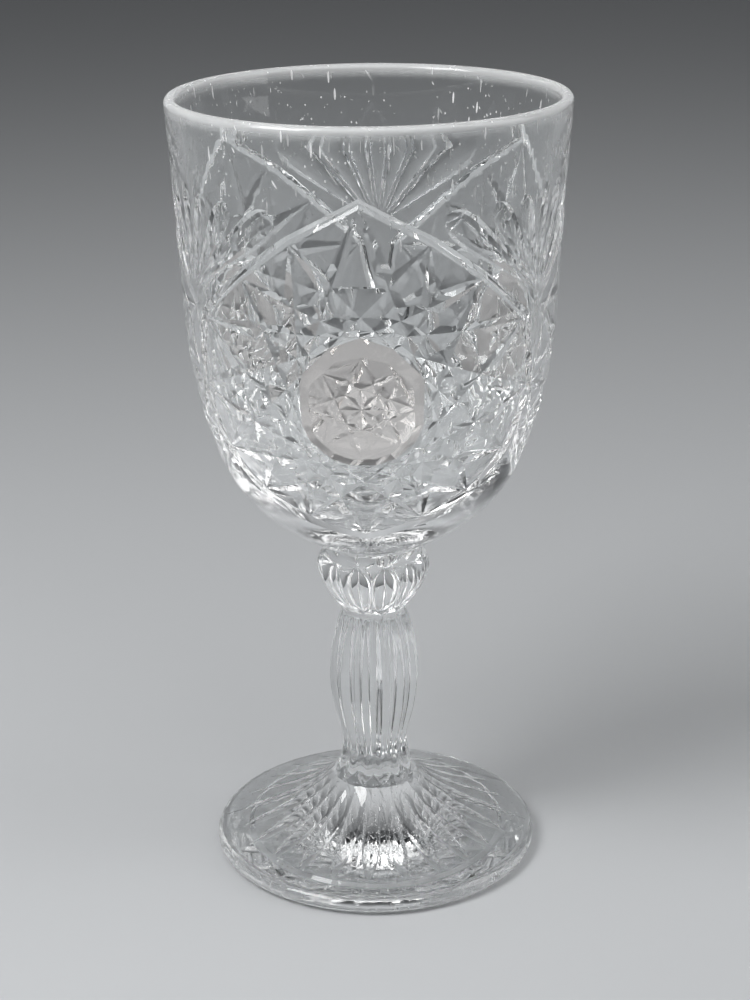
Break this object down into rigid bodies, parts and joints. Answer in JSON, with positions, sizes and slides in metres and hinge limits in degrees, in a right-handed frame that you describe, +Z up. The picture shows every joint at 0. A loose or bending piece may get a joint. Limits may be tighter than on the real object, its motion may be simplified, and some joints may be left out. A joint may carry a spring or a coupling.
{
  "type": "water goblet",
  "caption": "Stemmed drinking glass with a deep bowl pressed with star medallions and fans, a faceted knop, a fluted baluster stem and a round rayed foot.",
  "frame": {"origin": "centre of the foot's underside, on the plane the goblet stands on", "axes": "+Z up along the stem, one of the bowl's star medallions faces -Y"},
  "size_m": [0.0806, 0.0806, 0.165],
  "materials": {
    "clear_glass": "fire-polished, clear"
  },
  "bodies": {
    "root": {"bowl": "clear_glass", "knop": "clear_glass", "stem": "clear_glass", "foot": "clear_glass"}
  },
  "joints": []
}
